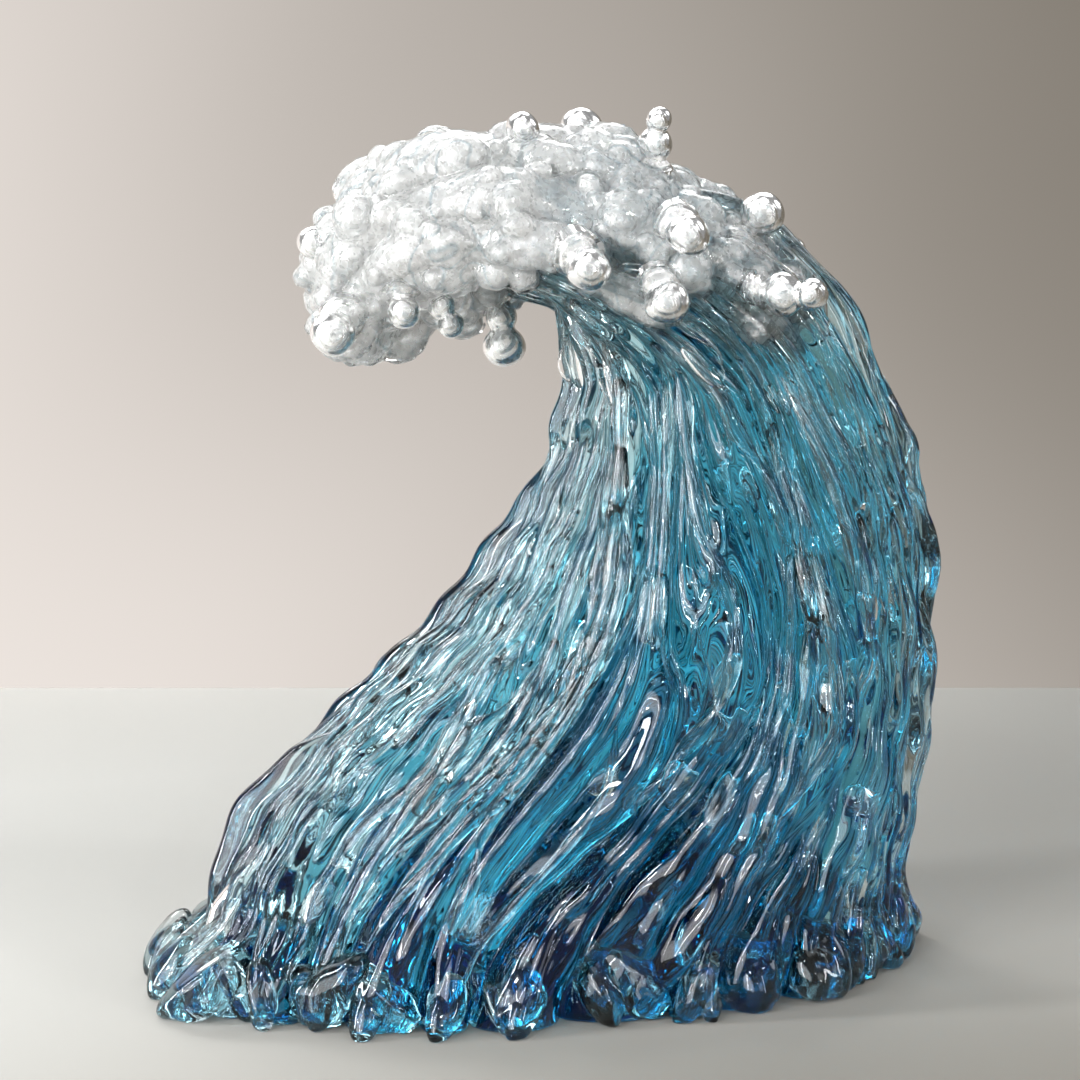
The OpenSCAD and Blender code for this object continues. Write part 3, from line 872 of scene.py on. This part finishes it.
body_glass = glass_material("body_glass", PALE_BLUE, (0.0, 0.01), BODY_BLUE, 8, (60, 0.15),
                            tint_field=("UV", 1, (90, 5, 1)))
rod_glass = glass_material("rod_glass", SOFT_BLUE, (0.0, 0.01), BODY_BLUE, 8, (160, 0.1))
air_glass = glass_material("air_glass", CLEAR, (0.0, 0.0), ior=1 / GLASS_IOR)
toe_glass = glass_material("toe_glass", SOFT_BLUE, (0.0, 0.01), (0.08, 0.6, 0.73), 14, (70, 0.2))
core_glass = glass_material("core_glass", CLEAR, (0.0, 0.0), (0.0, 0.75, 0.885), 23, ior=1.0)
foot_glass = glass_material("foot_glass", CLEAR, (0.0, 0.0), (0.2, 0.5, 0.6), 26, ior=1.0)
foam_glass = glass_material("foam_glass", NEAR_WHITE, (0.0, 0.02), bump=(80, 0.4), transmission=(0.95, 1.0))
drop_glass = glass_material("drop_glass", NEAR_WHITE, (0.08, 0.2), bump=(300, 0.15), transmission=(0.95, 1.0))
milk_glass = swirled_material("milk_glass", 0.48, (0.55, 0.63, 0.66))
speckled_glass = swirled_material("speckled_glass", 0.8, (0.5, 0.56, 0.58))


def dress(piece, material):
    """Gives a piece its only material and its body."""
    piece.data.materials.clear()
    piece.data.materials.append(material)
    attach(piece, "root")


# The pieces, in the order of their random draws

RODS, AIR_LINES, VEILS, BUBBLES = 60, 50, 220, 220
UNEVEN_TOES, UNEVEN_AIR, UNEVEN_FOOT = 0.1, 0.25, 0.05

body_points = body_grid()
body = tube_mesh("wave_body", body_points)
dress(body, body_glass)
blue_nodes = ["blue_trail_%02d" % (k + 1) for k in range(TRAILS)]
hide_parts(*blue_nodes)

rods = thread_grids(body_points, RODS, 14, (0.03, 0.7), (0.35, 0.95), (1.2, 2.8), (1.2, 2.4))
rods = join([tube_mesh("rod", g) for g in rods], "laid_rods")
dress(rods, rod_glass)

lobes = blob_mesh("toe_lobes", toe_lobes(body_points), 4, UNEVEN_TOES)
dress(lobes, toe_glass)

air_lines = thread_grids(body_points, AIR_LINES, 8, (0.04, 1.2), (0.05, 0.3), (0.2, 0.6), (2.2, 9))
veils = under_surface(body_points, VEILS, (0.03, 0.92), (3, 20), (5, 15), (2.5, 6.5), (0.6, 2.0), 1.4)
bubbles = under_surface(body_points, BUBBLES, (0.03, 0.9), (1.5, 14), (0.4, 1.2), (0.3, 0.8), (0.3, 0.8))
air_parts = [tube_mesh("air", g) for g in air_lines]
air_parts.append(blob_mesh("veils", veils + bubbles, 3, UNEVEN_AIR, CORE_SUNK))
air = join(air_parts, "trapped_air")
dress(air, air_glass)

core = tube_mesh("blue_core", core_grid())
dress(core, core_glass)
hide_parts("core_gather")

foot_ball = (np.array(FOOT_CORE_AT), np.diag(FOOT_CORE_AXES))
foot = blob_mesh("foot_core", [foot_ball], 5, UNEVEN_FOOT, 2 * CORE_SUNK)
dress(foot, foot_glass)

places = lumps()
foam = foam_mesh("foam_crest", places, 0, 1)
dress(foam, foam_glass)
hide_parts("crest_hood", *["foam_trail_%02d" % (m + 1) for m in range(TRAILS // 2)])

milk = foam_mesh("milky_inside", places, MILK_INSET, MILK_SHARE)
dress(milk, milk_glass)

for values in DROPS:
    drop, inner = drop_mesh(*values)
    dress(drop, drop_glass)
    dress(inner, speckled_glass)
    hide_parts(values[0])


# Stage: floor, backdrop, lights and camera

FLOOR_REACH = 2.5
BACKDROP_BEHIND = 0.36
BACKDROP_TOP = 0.42
COVE = 0.05
FLOOR_DROP = -0.0003
CLOUD_SCALE, CLOUD_SHARE = 2.5, 0.3
# Painted light and shade on the stage: the floor and backdrop colours are lighter at the left, where the light
# comes from, and darker to the right.
FLOOR_PAINTED_LIT, FLOOR_PAINTED_SHADE = (0.435, 0.44, 0.427), (0.125, 0.112, 0.09)
BACKDROP_PAINTED_LIT, BACKDROP_PAINTED_SHADE = (0.95, 0.88, 0.83), (0.16, 0.14, 0.11)


def stage_surface(name, lit_paint, shade_paint, way, start, end, glowing=False):
    """Matt surface whose colour goes from painted light to painted shade along the direction way.

    A glowing one gives off its colour as a painted glow, though it is no lamp, to the camera, reflections and the
    glass, and isn't there from behind.
    """
    m, t = new_material(name)
    out = t.nodes.new("ShaderNodeOutputMaterial")
    d = t.nodes.new("ShaderNodeBsdfDiffuse")
    place = t.nodes.new("ShaderNodeTexCoord")
    cloud = node(t, "ShaderNodeTexNoise", Scale=CLOUD_SCALE, Detail=1.0)
    t.links.new(place.outputs["Object"], cloud.inputs["Vector"])
    along = t.nodes.new("ShaderNodeVectorMath")
    along.operation = "DOT_PRODUCT"
    along.inputs[1].default_value = way
    t.links.new(place.outputs["Object"], along.inputs[0])
    add = t.nodes.new("ShaderNodeMath")
    add.operation = "MULTIPLY_ADD"
    add.inputs[1].default_value = CLOUD_SHARE
    t.links.new(cloud.outputs["Fac"], add.inputs[0])
    t.links.new(along.outputs["Value"], add.inputs[2])
    ramp = ramp_node(t, [(0, lit_paint), (1, shade_paint)])
    t.links.new(ranged(t, add.outputs[0], 0, 1, start, end), ramp.inputs["Fac"])
    t.links.new(ramp.outputs["Color"], d.inputs["Color"])
    if not glowing:
        t.links.new(d.outputs["BSDF"], out.inputs["Surface"])
        return m
    # Painted glow: the backdrop gives off its colour ramp as light to the camera, reflections and the glass,
    # though it is no lamp.
    glow = t.nodes.new("ShaderNodeEmission")
    t.links.new(ramp.outputs["Color"], glow.inputs["Color"])
    path = t.nodes.new("ShaderNodeLightPath")
    seen = path.outputs["Is Camera Ray"]
    for kind in ("Is Glossy Ray", "Is Transmission Ray"):
        seen = maths(t, "MAXIMUM", seen, path.outputs[kind])
    mix = t.nodes.new("ShaderNodeMixShader")
    t.links.new(seen, mix.inputs["Fac"])
    t.links.new(d.outputs["BSDF"], mix.inputs[1])
    t.links.new(glow.outputs["Emission"], mix.inputs[2])
    one_sided = t.nodes.new("ShaderNodeMixShader")
    t.links.new(t.nodes.new("ShaderNodeNewGeometry").outputs["Backfacing"], one_sided.inputs["Fac"])
    t.links.new(mix.outputs["Shader"], one_sided.inputs[1])
    t.links.new(t.nodes.new("ShaderNodeBsdfTransparent").outputs["BSDF"], one_sided.inputs[2])
    t.links.new(one_sided.outputs["Shader"], out.inputs["Surface"])
    return m


def make_stage():
    """Floor, and a backdrop that curves up from it, each with its own painted light and shade."""
    curve = [(BACKDROP_BEHIND + COVE * math.sin(a), FLOOR_DROP + COVE * (1 - math.cos(a)))
             for a in np.linspace(0.1, math.pi / 2, 8)]
    wall = [(BACKDROP_BEHIND, FLOOR_DROP)] + curve + [(BACKDROP_BEHIND + COVE, BACKDROP_TOP)]
    ground = [(-FLOOR_REACH, FLOOR_DROP), (FLOOR_REACH, FLOOR_DROP)]
    # The floor colour is painted light at the left and painted shade to the right and towards the front, where it
    # stands for the wave's shadow.
    floor_paint = stage_surface("floor_painted_shade", FLOOR_PAINTED_LIT, FLOOR_PAINTED_SHADE, (0.75, -1.0, 0), -0.2, 0.6)
    # The backdrop colour is painted light at the left and painted shade to the right and upwards, and it glows
    # with it.
    backdrop_paint = stage_surface("backdrop_painted_glow", BACKDROP_PAINTED_LIT, BACKDROP_PAINTED_SHADE, (0.9, 0, 0.5), -0.15, 0.6, glowing=True)
    for name, line, material in [("floor", ground, floor_paint), ("backdrop", wall, backdrop_paint)]:
        points = [(x, y, z) for y, z in line for x in (-FLOOR_REACH, FLOOR_REACH)]
        faces = [(2 * i, 2 * i + 1, 2 * i + 3, 2 * i + 2) for i in range(len(line) - 1)]
        mesh = bpy.data.meshes.new(name)
        mesh.from_pydata(points, [], faces)
        mesh.update()
        mesh.polygons.foreach_set("use_smooth", np.ones(len(faces), bool))
        mesh.materials.append(material)
        obj = bpy.data.objects.new(name, mesh)
        bpy.context.scene.collection.objects.link(obj)


# World: dim all round, with round soft windows

WORLD_DIM = 0.32
# Windows: direction, cosines of the angles where each begins and where it is full, strength
WINDOWS = [
    ((-0.5, 0.55, 0.65), 0.9, 0.95, 4.5),
    ((-0.42, 0.55, 0.6), 0.985, 0.993, 22.0),
    ((0.1, 0.75, 0.62), 0.95, 0.975, 8.0),
    ((0.1, -0.1, 1.0), 0.955, 0.975, 1.5),
    ((-0.62, -0.75, 0.25), 0.86, 0.93, 6.0),
    ((0.75, 0.35, 0.45), 0.97, 0.985, 4.0),
    ((0.5, -0.8, 0.35), 0.97, 0.985, 2.0),
]


def make_world():
    """The world light, which is the sum of the dim light and the windows."""
    world = bpy.data.worlds.new("studio")
    bpy.context.scene.world = world
    world.use_nodes = True
    t = world.node_tree
    t.nodes.clear()
    out = t.nodes.new("ShaderNodeOutputWorld")
    back = t.nodes.new("ShaderNodeBackground")
    place = t.nodes.new("ShaderNodeTexCoord")
    total = None
    for way, start, end, strength in WINDOWS:
        dot = t.nodes.new("ShaderNodeVectorMath")
        dot.operation = "DOT_PRODUCT"
        dot.inputs[1].default_value = Vector(way).normalized()
        t.links.new(place.outputs["Generated"], dot.inputs[0])
        glow = t.nodes.new("ShaderNodeMapRange")
        glow.interpolation_type = "SMOOTHSTEP"
        glow.inputs["From Min"].default_value = start
        glow.inputs["From Max"].default_value = end
        glow.inputs["To Min"].default_value = 0 if total else WORLD_DIM
        glow.inputs["To Max"].default_value = strength
        t.links.new(dot.outputs["Value"], glow.inputs["Value"])
        total = maths(t, "ADD", total, glow.outputs["Result"]) if total else glow.outputs["Result"]
    t.links.new(total, back.inputs["Strength"])
    t.links.new(back.outputs[0], out.inputs["Surface"])


def lamp(name, place, target, size, watts):
    """Rectangular area lamp at a place, turned to its target."""
    data = bpy.data.lights.new(name, "AREA")
    data.shape = "RECTANGLE"
    data.size, data.size_y = size
    data.energy = watts
    obj = bpy.data.objects.new(name, data)
    bpy.context.scene.collection.objects.link(obj)
    obj.location = place
    obj.rotation_euler = (Vector(target) - Vector(place)).to_track_quat("-Z", "Y").to_euler()


STRIP_TARGET, SPARK_TARGET = (0, 0, 0.3), (0, 0, 0.15)
SPARK_SIZE, SPARK_WATTS = (0.06, 0.06), 1.5
SPARKS = [(-0.9, -0.55, 0.35), (-0.7, -0.2, 0.95), (-0.25, -0.7, 0.95), (0.3, -0.9, 0.6),
          (0.75, -0.25, 0.8), (-0.45, -1.1, 0.15), (0.6, -0.9, 0.2), (0.1, 0.1, 1.2)]

make_stage()
make_world()
lamp("left_strip", (-0.95, -0.25, 0.5), STRIP_TARGET, (0.1, 0.9), 9)
lamp("front_strip", (-0.65, -0.85, 0.5), STRIP_TARGET, (0.06, 0.9), 4.5)
lamp("right_strip", (0.8, -0.65, 0.45), STRIP_TARGET, (0.05, 0.8), 2)
for i, place in enumerate(SPARKS):
    lamp("spark_%d" % i, place, SPARK_TARGET, SPARK_SIZE, SPARK_WATTS)


# Camera

ELEVATION = 13.5
DISTANCE = 1.6
PIXELS_PER_METRE = 3000
IMAGE_SIDE = 1080
SENSOR = 36
BOUNCES = 28
TARGET = (0.0, 0.0, 0.149)

cam_data = bpy.data.cameras.new("camera")
cam = bpy.data.objects.new("camera", cam_data)
bpy.context.scene.collection.objects.link(cam)
bpy.context.scene.camera = cam
e = math.radians(ELEVATION)
cam.location = (TARGET[0], TARGET[1] - DISTANCE * math.cos(e), TARGET[2] + DISTANCE * math.sin(e))
cam.rotation_euler = (math.pi / 2 - e, 0, 0)
cam_data.sensor_width = SENSOR
cam_data.sensor_fit = "HORIZONTAL"
cam_data.lens = SENSOR * DISTANCE * PIXELS_PER_METRE / IMAGE_SIDE
bpy.context.scene.view_settings.view_transform = "Standard"
bpy.context.scene.cycles.max_bounces = BOUNCES
bpy.context.scene.cycles.transmission_bounces = BOUNCES

bpy.context.view_layer.update()
